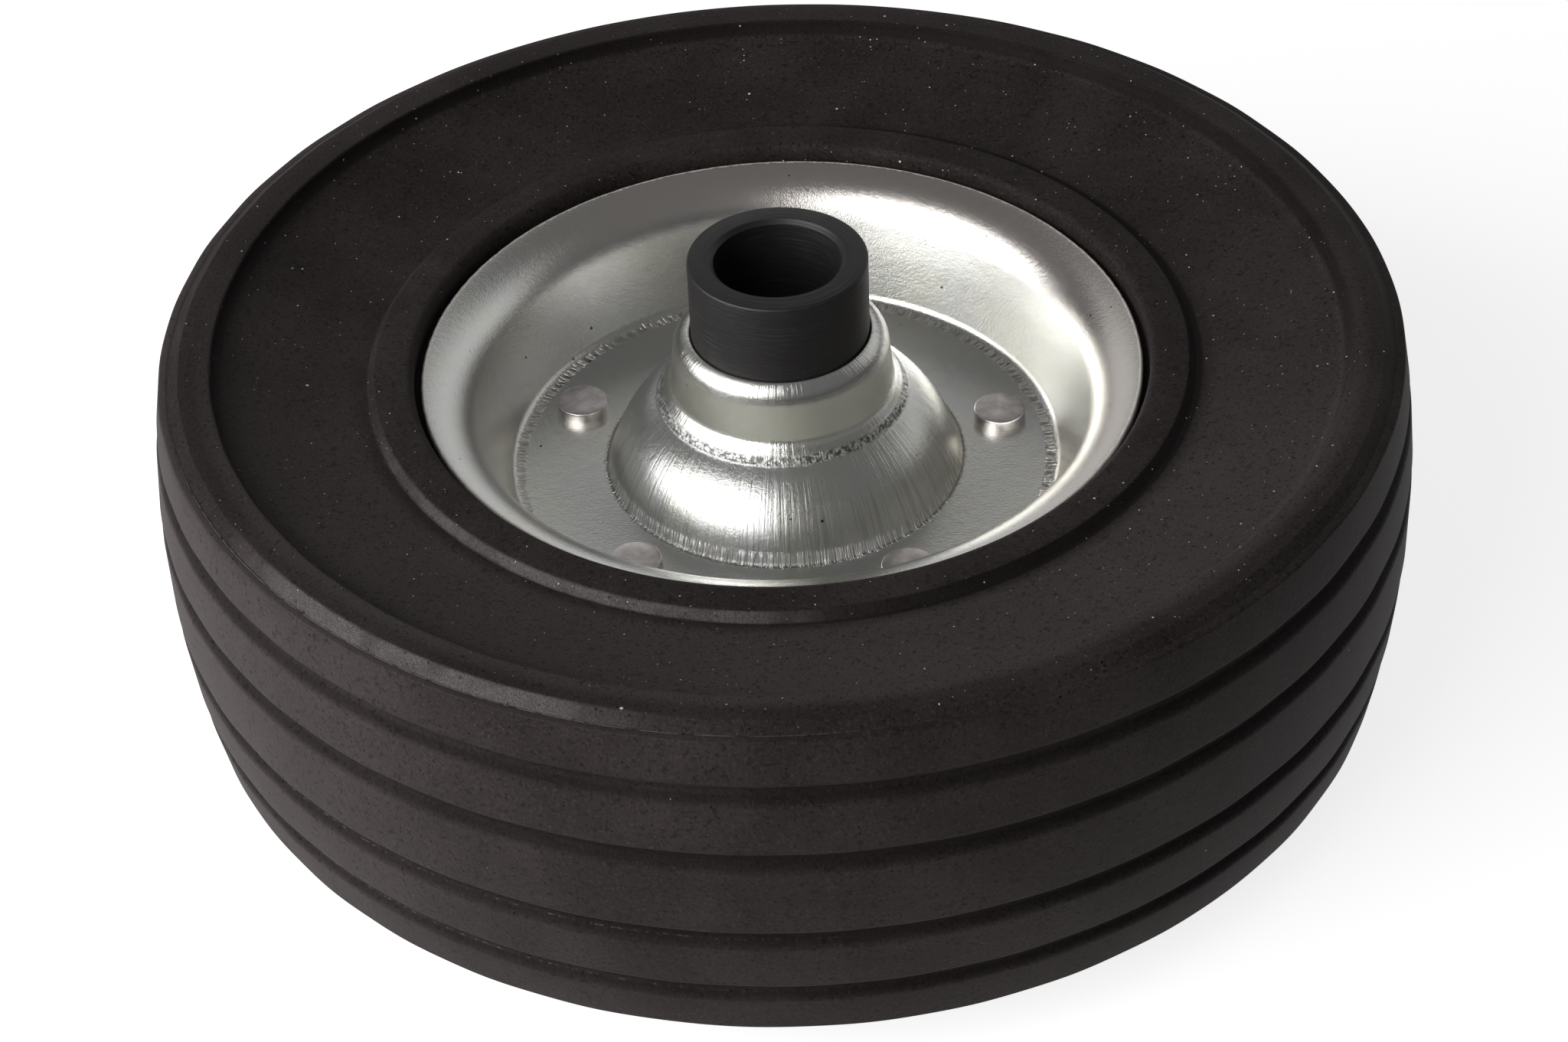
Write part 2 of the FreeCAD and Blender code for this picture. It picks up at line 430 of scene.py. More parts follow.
def turned_object(name: str, section: np.ndarray, steps: int, finish: Material,
                  reshape: Callable[[np.ndarray], np.ndarray] | None = None) -> Object:
    """Turns a section into a closed, smooth object.

    Args:
        name: the object's name.
        section: the section's points in mm.
        steps: how many steps the turn has.
        finish: the material.
        reshape: changes the vertices, given and returned in mm.

    Returns:
        The object, linked to the scene.
    """
    start = bpy.data.meshes.new(name + "_section")
    start.from_pydata([(radius * MM, 0.0, height * MM) for radius, height in section], [], [])
    made = through_nodes(start, TURNED, name,
                         {"Section points": len(section), "Steps round": steps, "Finish": finish})
    if reshape is not None:
        places = reshape(place_of(made.data) / MM) * MM
        made.data.vertices.foreach_set("co", places.astype(np.float32).ravel())
    face_outwards(made.data)
    return made


def fit(piece: Object, body: Body, nodes: Sequence[str]) -> None:
    """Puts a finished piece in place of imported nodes.

    Args:
        piece: the finished object.
        body: the body that it moves with.
        nodes: the nodes that it stands for.
    """
    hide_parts(*nodes)
    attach(piece, body.value)
    piece.data.calc_loop_triangles()
    log.info("%s: %d triangles, on %s", piece.name, len(piece.data.loop_triangles), body.value)


@dataclass(frozen=True)
class Specks:
    """Small round specks: cells per mm, a speck's size in mm, and the share of cells that hold one."""

    per_mm: float
    size: float
    share: float


class Finish(Tree):
    """A material under construction, with places in mm from the object's own coordinates."""

    def __init__(self, name: str, base: Colour) -> None:
        """Starts a material of one colour and reads the place on the wheel."""
        self.material = bpy.data.materials.new(name)
        super().__init__(emptied(self.material))
        self.base: object = base
        self.coat: Socket | None = None
        self.place = self.vmath("MULTIPLY", self.add("ShaderNodeTexCoord").outputs["Object"], (1 / MM,) * 3)
        self.x, self.y, self.z = self.parts(self.place)
        self.depth = self.math("ABSOLUTE", self.z)
        self.radius = self.vmath("LENGTH", self.vector(self.x, self.y))
        self.around = self.vmath("NORMALIZE", self.vector(self.x, self.y))

    def noise(self, scale: float, detail: float = 2.0, roughness: float = 0.5, distortion: float = 0.0,
              place: Socket | None = None) -> Socket:
        """Noise of 0 to 1, with scale features per mm, or per unit of another place."""
        return self.made("ShaderNodeTexNoise", {
            "Vector": place or self.place, "Scale": scale, "Detail": detail, "Roughness": roughness,
            "Distortion": distortion})

    def streaks(self, per_turn: float, along: object, along_scale: float, detail: float = 2.0) -> Socket:
        """Noise that changes quickly round the wheel and slowly along another coordinate."""
        ring = self.vmath("MULTIPLY", self.around, (per_turn / (2 * math.pi),) * 3)
        place = self.vmath("ADD", ring, self.vector(z=self.times(along, along_scale)))
        return self.noise(1.0, detail, place=place)

    def step(self, value: object, low: float, high: float, start: float = 0.0, end: float = 1.0) -> Socket:
        """A smooth step from start to end as value goes from low to high."""
        return self.ramp(value, low, high, start, end, "SMOOTHSTEP")

    def band(self, value: object, low: float, high: float, soft: float) -> Socket:
        """1 between low and high, and 0 outside, with soft edges."""
        return self.times(self.step(value, low - soft, low + soft),
                          self.step(value, high - soft, high + soft, 1.0, 0.0))

    def scaled(self, value: object, factor: object, base: object = 0.0) -> Socket:
        """value times factor, plus base."""
        return self.math("MULTIPLY_ADD", value, factor, base)

    def specks(self, kind: Specks) -> Socket:
        """1 inside a speck and 0 outside."""
        cell = self.add("ShaderNodeTexVoronoi", {"Vector": self.place, "Scale": kind.per_mm})
        chance = self.add("ShaderNodeSeparateColor", {0: cell.outputs["Color"]}).outputs
        kept = self.math("LESS_THAN", chance[0], kind.share)
        reach = self.scaled(chance[1], kind.size * kind.per_mm, kind.size * kind.per_mm * SMALLEST_SPECK)
        return self.times(kept, self.math("LESS_THAN", cell.outputs["Distance"], reach))

    def paint(self, where: object, colour: Colour, amount: float = 1.0) -> None:
        """Lays a colour over the base, by where it is, 0 to 1, times an amount."""
        node = self.add("ShaderNodeMix", data_type="RGBA", clamp_factor=True)
        factor = where if amount == 1.0 else self.scaled(where, amount)
        for socket, value in zip([s for s in node.inputs if s.enabled], (factor, self.base, colour)):
            self.put(socket, value)
        self.base = in_use(node.outputs)

    def emboss(self, height: object, deep: float) -> None:
        """Adds a height of 0 to 1, deep mm in all, to the bump."""
        under = {"Normal": self.coat} if self.coat else {}
        self.coat = self.made("ShaderNodeBump", {"Height": height, "Distance": deep * MM, **under})

    def close(self, values: dict[str, object]) -> Material:
        """Ends the material in one Principled shader.

        Args:
            values: its inputs by name, besides the base colour and the bump.

        Returns:
            The finished material.
        """
        values = {"Base Color": self.base, "Normal": self.coat, **values}
        self.add("ShaderNodeOutputMaterial", {"Surface": self.made("ShaderNodeBsdfPrincipled", values)})
        return self.material


@dataclass(frozen=True)
class MouldedRubber:
    """Matte charcoal rubber with grain, dust, pits and edge scuffs, and painted light and shade. Places are
    radii or depths in mm.
    """

    dark: Colour = (0.0178, 0.0146, 0.0141)
    light: Colour = (0.0295, 0.0247, 0.0240)
    grey: Colour = (0.080, 0.069, 0.067)
    black: Colour = (0.0030, 0.0024, 0.0023)
    lit_scuff: Colour = (0.19, 0.176, 0.172)
    pale: Colour = (0.72, 0.68, 0.62)
    rusty: Colour = (0.62, 0.22, 0.06)
    shine: float = 0.12
    shine_colour: Colour = (1.0, 0.84, 0.80)
    sheen: float = 0.03
    sheen_colour: Colour = (0.95, 0.80, 0.77)
    sheen_roughness: float = 0.45
    roughness: float = 0.58
    face_depth: Point = (27.9, 28.05)
    tread: Point = (96.4, 97.6)
    ledge: Point = (95.95, 97.05)
    chamfer: Point = (93.45, 95.70)
    under_lip: Point = (87.7, 89.1)
    sidewall: Point = (67.5, 91.0)
    collar_step: Point = (64.2, 65.5)
    collar_foot: Point = (64.0, 66.2)
    dust_free: Point = (96.0, 93.0)
    grooves: tuple[float, ...] = (19.4, 7.6)
    groove_reach: float = 1.6
    flash_above: float = 0.8
    flash_reach: float = 0.06
    flash_gap: float = 0.08
    pits: Specks = Specks(0.9, 0.18, 0.55)
    dust: tuple[Specks, ...] = (Specks(0.20, 0.20, 0.35), Specks(0.62, 0.11, 0.34), Specks(0.95, 0.075, 0.30))
    tread_dust: Specks = Specks(0.22, 0.16, 0.16)
    rust: Specks = Specks(0.05, 0.40, 0.05)
    lit_side: Place = (-0.574, -0.819, 0.0)

    def material(self) -> Material:
        """The finished material."""
        f = Finish("moulded_rubber", self.dark)
        grain = f.noise(1.9, 4.0, 0.72)
        f.paint(f.step(f.noise(0.045, 3.0, 0.6), 0.35, 0.68), self.light)
        # Painted sheen: the sidewall is painted lighter towards the front, where the lamp's broad sheen
        # falls.
        front = f.step(f.y, 30.0, -50.0)
        f.paint(f.times(front, f.band(f.radius, *self.sidewall, 1.5)), self.grey, 0.38)
        # Painted light and shade: the tread is painted lighter on the left, the lamp's side, and darker on
        # the right.
        tread = f.step(f.radius, *self.tread)
        f.paint(f.times(tread, f.step(f.x, -35.0, -95.0, 0.0, 0.45)), self.grey)
        f.paint(f.times(tread, f.step(f.x, 25.0, 90.0, 0.0, 0.55)), self.black)
        f.paint(f.step(grain, 0.52, 0.74), self.grey, 0.50)
        f.paint(f.step(grain, 0.46, 0.30), self.black, 0.75)
        f.paint(f.step(f.noise(0.95, 3.0, 0.65), 0.46, 0.32), self.black, 0.55)
        # Painted shade: the tread is darkened across each groove, where shade falls in the recess.
        for height in self.grooves:
            groove_shade = f.band(f.depth, height - self.groove_reach, height + self.groove_reach, 0.7)
            f.paint(f.times(tread, groove_shade), self.black, 0.60)
        faces = f.step(f.depth, *self.face_depth)
        ledge = f.times(faces, f.band(f.radius, *self.ledge, 0.3))
        # Painted light: the ledge under the chamfer is painted lighter on the left, the lamp's side.
        f.paint(f.times(ledge, f.step(f.x, 20.0, -90.0, 0.0, 0.45)), self.grey)
        # Painted shade: black at the collar's foot on the right, away from the lamp, and along the hollow
        # below the tyre's outer edge, most towards the back.
        foot = f.times(f.band(f.radius, *self.collar_foot, 0.3), f.step(f.x, -20.0, 25.0))
        lip = f.times(f.band(f.radius, *self.under_lip, 0.4), f.step(f.y, -70.0, 20.0, 0.15, 0.9))
        f.paint(f.most(foot, lip), self.black, 0.85)
        # Real scuffs with painted light: the lighter scuff colour shows only on the side that faces the lamp.
        worn = self.worn(f, faces)
        f.paint(worn, self.lit_scuff, 0.70)
        pits = f.times(f.specks(self.pits), f.scaled(worn, -0.7, 1.0))
        f.paint(pits, self.black, 0.85)
        dust = f.times(f.most(*(f.specks(kind) for kind in self.dust)), f.step(f.radius, *self.dust_free))
        f.paint(f.most(dust, f.specks(self.tread_dust)), self.pale, 0.85)
        f.paint(f.specks(self.rust), self.rusty, 0.8)
        f.emboss(grain, 0.16)
        f.emboss(f.noise(6.0, 2.0, 0.6), 0.05)
        f.emboss(f.times(worn, f.noise(3.2, 3.0)), 0.16)
        f.emboss(f.scaled(pits, -1.0), 0.07)
        return f.close({"Roughness": f.scaled(grain, 0.18, self.roughness - 0.09),
                        "Specular IOR Level": self.shine, "Specular Tint": self.shine_colour,
                        "Sheen Weight": self.sheen, "Sheen Roughness": self.sheen_roughness,
                        "Sheen Tint": self.sheen_colour})

    def worn(self, f: Finish, faces: Socket) -> Socket:
        """Where the rubber shows scuffs, on the chamfer, the collar's step and the flash at the mould's
        joints, only towards the lamp: real scuffs with painted light.

        Args:
            f: the material under construction.
            faces: 1 near the tyre's two faces.

        Returns:
            1 where it is worn through on the lit side, and 0 where it isn't.
        """
        # How squarely each place faces the lamp; near and close gate the painted light below.
        side = f.vmath("DOT_PRODUCT", f.around, self.lit_side)
        near, close = f.step(side, 0.72, 0.99, 0.05, 1.0), f.step(side, 0.90, 1.0, 0.0, 1.0)
        fine = f.scaled(f.step(f.noise(3.2, 4.0, 0.7), 0.30, 0.62), 0.6, 0.4)
        even = f.step(f.noise(0.16, 3.0, 0.6), 0.30, 0.60, 0.45, 1.0)
        chamfer = f.times(f.band(f.radius, *self.chamfer, 0.20), faces, close)
        step = f.times(f.band(f.radius, *self.collar_step, 0.2), near)
        worn = f.times(f.most(chamfer, step), f.times(fine, even))
        joint = f.times(f.band(f.radius, self.chamfer[1], self.ledge[0] - self.flash_gap, 0.05), faces)
        flash = f.times(joint, f.step(f.noise(0.5, 3.0), 0.35, 0.5), near)
        dotted = f.step(f.noise(1.1, 3.0, 0.7), 0.50, 0.62)
        for height in self.grooves:
            middle = height + self.flash_above
            line = f.times(f.band(f.depth, middle - self.flash_reach, middle + self.flash_reach, 0.05),
                           f.step(f.radius, 95.0, 96.0))
            flash = f.most(flash, f.times(line, dotted, f.scaled(near, 0.5)))
        return f.most(worn, flash)


@dataclass(frozen=True)
class ZincPlate:
    """Bright zinc on pressed sheet, with press marks and pits, and painted light: a warm highlight tint on
    the flange, a glint along the cut edge and shade at the dome's foot. Places are radii or depths in mm.
    """

    grey: Colour = (0.74, 0.74, 0.73)
    straw: Colour = (0.75, 0.745, 0.69)
    warm: Colour = (0.79, 0.735, 0.69)
    clean: Colour = (0.93, 0.93, 0.87)
    shade: Colour = (0.30, 0.29, 0.27)
    black: Colour = (0.035, 0.032, 0.028)
    burr_and_glint: Colour = (0.86, 0.82, 0.76)
    roughness: float = 0.22
    flange: Point = (48.0, 51.0)
    cut_edge: Point = (56.20, 56.45)
    cut_depth: Point = (18.6, 19.2)
    corner: Point = (42.1, 43.5)
    hub: Point = (28.0, 29.0)
    foot: Point = (26.9, 28.9)
    foot_depth: Point = (3.0, 4.4)
    foot_line: Point = (28.55, 28.95)
    line_depth: Point = (2.6, 3.0)
    drawn: Point = (24.5, 28.4)
    dome: Point = (19.4, 28.4)
    dome_depth: Point = (8.0, 12.0)
    ridge: Point = (18.9, 20.1)
    ridge_depth: Point = (14.9, 16.3)
    neck: Point = (18.6, 18.2)
    neck_depth: Point = (17.0, 24.6)
    crest: Point = (14.0, 17.0)
    crest_depth: Point = (22.0, 25.0)
    ticks_round: float = 480.0
    pits: Specks = Specks(0.4, 0.20, 0.30)

    def material(self) -> Material:
        """The finished material."""
        f = Finish("zinc_plate", self.grey)
        mottle = f.noise(0.55, 3.0, 0.6)
        f.paint(f.step(f.noise(0.06, 3.0, 0.55, 0.6), 0.35, 0.65), self.straw)
        # Painted highlight tint: the flange is painted warmer at the rear right, where the lamp's broad
        # highlight falls.
        rear_right = f.step(f.math("ADD", f.x, f.y), -35.0, 30.0)
        f.paint(f.times(f.step(f.radius, *self.flange), rear_right), self.warm, 0.85)
        f.paint(f.times(f.step(f.radius, *self.neck), f.band(f.depth, *self.neck_depth, 0.8)), self.clean)
        corner, foot, ridge = self.marks(f)
        ticks = f.step(f.streaks(self.ticks_round, f.radius, 0.30, 2.0), 0.42, 0.58)
        hub = f.step(f.radius, *self.hub, 1.0, 0.0)
        dome = f.times(hub, f.step(f.depth, *self.dome_depth, 1.0, 0.25))
        struck = f.times(f.most(corner, f.scaled(foot, 0.5)), f.math("SUBTRACT", 1.0, ticks))
        f.paint(struck, self.shade, 0.85)
        f.paint(f.times(corner, ticks), self.burr_and_glint)
        drawn = f.step(f.streaks(380.0, f.z, 0.06, 3.0), 0.50, 0.68)
        f.paint(f.times(f.band(f.radius, *self.drawn, 1.2), drawn), self.shade, 0.32)
        f.paint(f.times(ridge, f.step(f.noise(1.6, 4.0, 0.75), 0.60, 0.42)), self.black, 0.85)
        # Painted shade: a dark line along the crease at the dome's foot.
        line = f.times(f.band(f.radius, *self.foot_line, 0.12), f.step(f.depth, *self.line_depth, 1.0, 0.0))
        f.paint(line, self.shade, 0.85)
        # Ragged cut edge with a painted glint: the edge is painted bright and less metallic all round.
        ragged = f.scaled(f.noise(1.3, 4.0, 0.75), 0.9, f.math("SUBTRACT", f.radius, 0.45))
        burrs_and_glint = f.times(f.step(ragged, *self.cut_edge), f.step(f.depth, *self.cut_depth))
        f.paint(burrs_and_glint, self.burr_and_glint)
        f.paint(f.times(f.specks(self.pits), f.step(f.noise(0.09, 2.0), 0.42, 0.52)), self.black, 0.9)
        f.emboss(f.noise(5.0, 3.0, 0.7), 0.026)
        f.emboss(mottle, 0.028)
        f.emboss(f.noise(2.0, 3.0, 0.65), 0.030)
        f.emboss(f.times(hub, f.streaks(330.0, f.z, 0.10, 3.0)), 0.075)
        f.emboss(f.times(hub, f.streaks(120.0, f.z, 0.03)), 0.040)
        f.emboss(f.times(f.most(corner, foot), ticks), 0.14)
        f.emboss(f.times(ridge, f.noise(3.4, 3.0)), 0.12)
        f.emboss(f.times(f.ramp(f.radius, *self.crest, 1.0, 0.0), f.step(f.depth, *self.crest_depth)), 0.85)
        f.emboss(f.ramp(f.radius, *self.dome), 1.9)
        worn = f.scaled(f.most(corner, foot, ridge), 0.18)
        rough = f.math("ADD", f.scaled(mottle, 0.10, self.roughness - 0.05), worn)
        return f.close({"Metallic": f.scaled(burrs_and_glint, -0.55, 1.0),
                        "Roughness": f.math("ADD", rough, f.scaled(dome, 0.08))})

    def marks(self, f: Finish) -> tuple[Socket, Socket, Socket]:
        """Where the press left marks: the land's outer corner, the dome's foot and the shoulder's ridge."""
        patchy = f.step(f.noise(1.4, place=f.around), 0.36, 0.62, 0.3, 1.0)
        uneven = f.streaks(self.ticks_round, f.radius, 0.1, 2.0)
        uneven = f.scaled(uneven, 1.6, f.math("SUBTRACT", f.radius, 0.8))
        corner = f.times(f.band(uneven, *self.corner, 0.25), patchy)
        foot = f.times(f.band(uneven, *self.foot, 0.4), f.step(f.depth, *self.foot_depth, 1.0, 0.0))
        ridge = f.times(f.band(f.radius, *self.ridge, 0.3), f.band(f.depth, *self.ridge_depth, 0.35))
        return corner, foot, ridge


@dataclass(frozen=True)
class TurnedPlastic:
    """Matte black plastic with fine lathe lines round it."""

    black: Colour = (0.0125, 0.0108, 0.0112)
    lighter: Colour = (0.014, 0.0135, 0.0135)
    chalk: Colour = (0.030, 0.029, 0.029)
    pale: Colour = (0.2, 0.2, 0.19)
    dust: Specks = Specks(0.45, 0.07, 0.4)
    end_depth: Point = (40.2, 40.4)
    roughness: float = 0.46

    def material(self) -> Material:
        """The finished material."""
        f = Finish("turned_plastic", self.black)
        lines = f.streaks(4.0, f.z, 4.2, 4.0)
        rings = f.streaks(5.0, f.radius, 3.5, 3.0)
        ends = f.step(f.depth, *self.end_depth)
        cut = f.made("ShaderNodeMix", {0: ends, 2: lines, 3: rings}, data_type="FLOAT")
        f.paint(f.step(f.noise(0.5, 4.0, 0.65), 0.4, 0.7), self.lighter)
        scratched = f.times(f.step(lines, 0.54, 0.70), f.step(f.noise(0.12, 2.0), 0.42, 0.60))
        f.paint(scratched, self.chalk, 0.8)
        f.paint(f.specks(self.dust), self.pale, 0.6)
        f.emboss(cut, 0.07)
        f.emboss(f.noise(4.0, 3.0, 0.6), 0.02)
        return f.close({"Roughness": f.scaled(lines, 0.12, self.roughness - 0.06)})


@dataclass(frozen=True)
class TurnedSteel:
    """Pinkish grey rivet steel, swirled by the tool that closed its head."""

    grey: Colour = (0.74, 0.675, 0.665)
    side: Colour = (0.86, 0.82, 0.80)
    roughness: float = 0.30
    anisotropy: float = 0.75

    def material(self) -> Material:
        """The finished material."""
        f = Finish("turned_steel", self.grey)
        local = f.add("ShaderNodeAttribute", attribute_name=HEAD_PLACE).outputs["Vector"]
        parts = f.parts(local)
        swirl = f.vector(f.scaled(parts[1], -1.0), parts[0])
        out = f.vmath("LENGTH", f.vmath("MULTIPLY", local, (1 / MM, 1 / MM, 0.0)))
        smear = f.noise(0.8, 3.0)
        f.paint(f.step(smear, 0.35, 0.65), self.side)
        f.emboss(f.noise(5.0, 3.0, place=f.vector(out)), 0.02)
        return f.close({"Metallic": 1.0, "Roughness": f.scaled(smear, 0.12, self.roughness - 0.06),
                        "Anisotropic": self.anisotropy, "Tangent": swirl})


@dataclass(frozen=True)
class Tyre:
    """The solid rubber tyre. Sizes in mm."""

    diameter: float = 200.0
    width: float = 59.0
    crown_radius: float = 143.0
    grooves: tuple[float, ...] = (19.4, 7.6)
    groove_width: float = 3.2
    groove_depth: float = 1.5
    groove_floor: float = 1.3
    groove_shoulder: float = 1.0
    groove_rounding: float = 0.5
    ledge_drop: float = 1.4
    ledge_width: float = 1.4
    chamfer_width: float = 1.8
    chamfer_drop: float = 1.3
    lip_width: float = 5.0
    lip_step: float = 2.4
    lip_draft: float = 0.5
    edge_rounding: float = 0.4
    hollow_rounding: float = 3.0
    collar_gap: float = 1.0
    collar_width: float = 6.2
    collar_rise: float = 2.3
    collar_step: Point = (1.2, 1.4)
    collar_rounding: float = 1.3
    bead_radius: float = 47.0
    wavy_from: float = 60.0
    wavy_over: float = 6.0
    inset: float = 0.16
    swing: float = 0.45
    ripple: float = 0.05
    ripple_lean: float = 0.01
    slow: Waves = Waves(3, 2, 9, 5)
    quick: Waves = Waves(4, 12, 40, 6)
    steps: int = 704
    sag: float = 0.02
    longest: float = 12.0

    def tread_radius(self, height: float) -> float:
        """The crowned tread's radius at a height."""
        return self.diameter / 2 - self.crown_radius + math.sqrt(self.crown_radius ** 2 - height ** 2)

    def groove(self, middle: float) -> list[Corner]:
        """The corners of one groove, from its upper shoulder down."""
        upper, lower = middle + self.groove_width / 2, middle - self.groove_width / 2
        floor = self.tread_radius(middle) - self.groove_depth
        return [(self.tread_radius(upper), upper, self.groove_shoulder),
                (floor, middle + self.groove_floor / 2, self.groove_rounding),
                (floor, middle - self.groove_floor / 2, self.groove_rounding),
                (self.tread_radius(lower), lower, self.groove_shoulder)]

    def corners(self, rim: "RimHalf") -> list[Corner]:
        """The corners of the section, with its seat on the rim."""
        lip_height = self.width / 2
        ledge_height = lip_height - self.ledge_drop
        edge_radius = self.tread_radius(ledge_height)
        ledge_inner = edge_radius - self.ledge_width
        lip_outer = ledge_inner - self.chamfer_width
        lip_inner = lip_outer - self.lip_width
        collar_inner = rim.radius + self.collar_gap
        collar_outer = collar_inner + self.collar_width
        collar_height = rim.depth + self.collar_rise
        flange, wall = rim.flange.shifted(rim.sheet), rim.wall.shifted(rim.sheet)
        upper = [(self.bead_radius, wall.height_at(self.bead_radius), 0.0),
                 (*wall.meet(flange), rim.bend - rim.sheet),
                 (collar_inner, flange.height_at(collar_inner), 0.0),
                 (collar_inner, collar_height, self.collar_rounding),
                 (collar_outer, collar_height, self.edge_rounding),
                 (collar_outer + self.collar_step[0], collar_height - self.collar_step[1],
                  self.edge_rounding),
                 (lip_inner - self.lip_draft, lip_height - self.lip_step, self.hollow_rounding),
                 (lip_inner, lip_height, self.edge_rounding),
                 (lip_outer, lip_height, self.edge_rounding),
                 (ledge_inner, lip_height - self.chamfer_drop, 0.0),
                 (edge_radius, ledge_height, self.edge_rounding)]
        for middle in self.grooves:
            upper += self.groove(middle)
        return upper + mirrored(upper)

    def reshape(self, places: np.ndarray) -> np.ndarray:
        """Adds the unevenness of the moulding, in mm."""
        angle, radius = angle_and_radius(places)
        outside = np.clip((radius - self.wavy_from) / self.wavy_over, 0, 1)
        inset = self.inset * outside * (1 + self.swing * self.slow.at(angle))
        inset += self.ripple * outside * self.quick.at(angle + places[:, 2] * self.ripple_lean)
        return pushed_in(places, radius, inset)

    def build(self, rim: "RimHalf", finish: Material) -> Object:
        """Makes the tyre's mesh on its rim."""
        section = section_points(self.corners(rim), self.sag, self.longest)
        return turned_object("solid_tyre", section, self.steps, finish, self.reshape)


@dataclass(frozen=True)
class RimHalf:
    """One steel pressing. Sizes in mm, for the front side."""

    radius: float = 57.0
    depth: float = 21.2
    sheet: float = 2.0
    sheet_rounding: float = 0.5
    flange_slope: float = 12.0
    wall_slope: float = 70.0
    bend_radius: float = 11.0
    land_radius: float = 44.1
    land_rounding: float = 2.0
    foot_radius: float = 28.5
    foot_rounding: float = 0.8
    foot_slope: float = 70.0
    top_slope: float = 38.0
    crown_rounding: float = 25.0
    shoulder: Point = (19.4, 15.9)
    shoulder_step: Point = (0.3, 0.6)
    shoulder_rounding: float = 0.8
    neck_foot: Point = (17.75, 17.9)
    neck_rounding: float = 2.0
    neck_top: Point = (16.85, 27.3)
    neck_roll: float = 3.2
    crest_slope: float = 20.0
    mouth_radius: float = 14.2
    mouth_rounding: float = 0.4
    nicked_from: float = 56.4
    nicked_over: float = 0.5
    inset: float = 0.03
    nick: float = 0.16
    nick_above: float = 0.9
    nick_limit: float = 1.2
    uneven: Waves = Waves(12, 20, 120, 8)
    nicks: Waves = Waves(11, 60, 400, 24)
    steps: int = 816
    sag: float = 0.012
    longest: float = 9.0

    @property
    def flange(self) -> Line:
        """The face of the flange."""
        return Line.inward(self.radius, self.depth, -self.flange_slope)

    @property
    def wall(self) -> Line:
        """The face of the bowl's wall."""
        return Line.inward(self.land_radius, self.sheet, -self.wall_slope)

    @property
    def bend(self) -> float:
        """The radius of the bend from flange to wall, no larger than the flange has room for."""
        half_turn = math.radians(self.wall_slope - self.flange_slope) / 2
        return min(self.bend_radius, (self.radius - self.flange.meet(self.wall)[0]) / math.tan(half_turn))

    def corners(self) -> list[Corner]:
        """The corners of the section, along the face and back along the hidden side."""
        land = Line.inward(self.land_radius, self.sheet, 0.0)
        dome = Line.inward(self.foot_radius, self.sheet, self.foot_slope)
        ridge = (self.shoulder[0] + self.shoulder_step[0], self.shoulder[1] - self.shoulder_step[1])
        top = Line.inward(*ridge, self.top_slope)
        skirt = Line.through(self.shoulder, self.neck_foot)
        neck = Line.through(self.neck_foot, self.neck_top)
        crest = Line.inward(self.mouth_radius, self.neck_top[1], self.crest_slope)
        face = [self.flange, self.wall, land, dome, top, skirt, neck, crest]
        sheet = self.sheet
        back = [line.shifted(sheet) for line in reversed(face)]
        bends = (max(self.neck_roll - sheet, 0.0), self.neck_rounding + sheet, self.shoulder_rounding,
                 self.crown_rounding - sheet, self.foot_rounding + sheet, self.land_rounding + sheet,
                 self.bend - sheet)
        return [(self.radius, self.depth, self.sheet_rounding),
                (*self.flange.meet(self.wall), self.bend),
                (*self.wall.meet(land), self.land_rounding),
                (*land.meet(dome), self.foot_rounding),
                (*dome.meet(top), self.crown_rounding),
                (*ridge, self.shoulder_rounding),
                (*self.shoulder, self.shoulder_rounding),
                (*self.neck_foot, self.neck_rounding),
                (*neck.meet(crest), self.neck_roll),
                (self.mouth_radius, self.neck_top[1], self.mouth_rounding),
                (self.mouth_radius, back[0].height_at(self.mouth_radius), self.sheet_rounding),
                *((*line.meet(following), bend) for line, following, bend in zip(back, back[1:], bends)),
                (self.radius, back[-1].height_at(self.radius), self.sheet_rounding)]

    def reshape(self, places: np.ndarray) -> np.ndarray:
        """Adds the nicked edge that the cutting tool leaves, in mm."""
        angle, radius = angle_and_radius(places)
        edge = np.clip((radius - self.nicked_from) / self.nicked_over, 0, 1)
        nicks = np.clip(self.nicks.at(angle) - self.nick_above, 0, self.nick_limit)
        inset = edge * (self.inset * (1 + self.uneven.at(angle)) + self.nick * nicks)
        return pushed_in(places, radius, inset)

    def build(self, side: Side, finish: Material) -> Object:
        """Makes one pressing's mesh, for the front or the rear side."""
        section = section_points(self.corners(), self.sag, self.longest)
        section[:, 1] *= side.value
        return turned_object(f"{side.name.lower()}_pressing", section, self.steps, finish, self.reshape)


@dataclass(frozen=True)
class Rivets:
    """The ring of flat-headed rivets. Sizes in mm and degrees."""

    count: int = 5
    ring_radius: float = 36.0
    first_angle: float = 12.3
    shank_diameter: float = 5.0
    head_diameter: float = 8.3
    head_height: float = 1.7
    head_rounding: float = 0.3
    steps: int = 96
    sag: float = 0.01
    longest: float = 3.0

    def build(self, rim: RimHalf, finish: Material) -> Object:
        """Makes all the rivets as one mesh, a head on each land."""
        top = rim.sheet + self.head_height
        upper = [(0.0, top, 0.0), (self.head_diameter / 2, top, self.head_rounding),
                 (self.head_diameter / 2, rim.sheet, 0.0), (self.shank_diameter / 2, rim.sheet, 0.0)]
        section = section_points(upper + mirrored(upper), self.sag, self.longest)
        one = turned_object("rivet_form", section, self.steps, finish)
        made = through_nodes(one.data.copy(), RIVET_RING, "land_rivets",
                             {"Count": self.count, "Ring radius": self.ring_radius * MM,
                              "First angle": math.radians(self.first_angle), "Finish": finish})
        bpy.data.objects.remove(one)
        face_outwards(made.data)
        return made


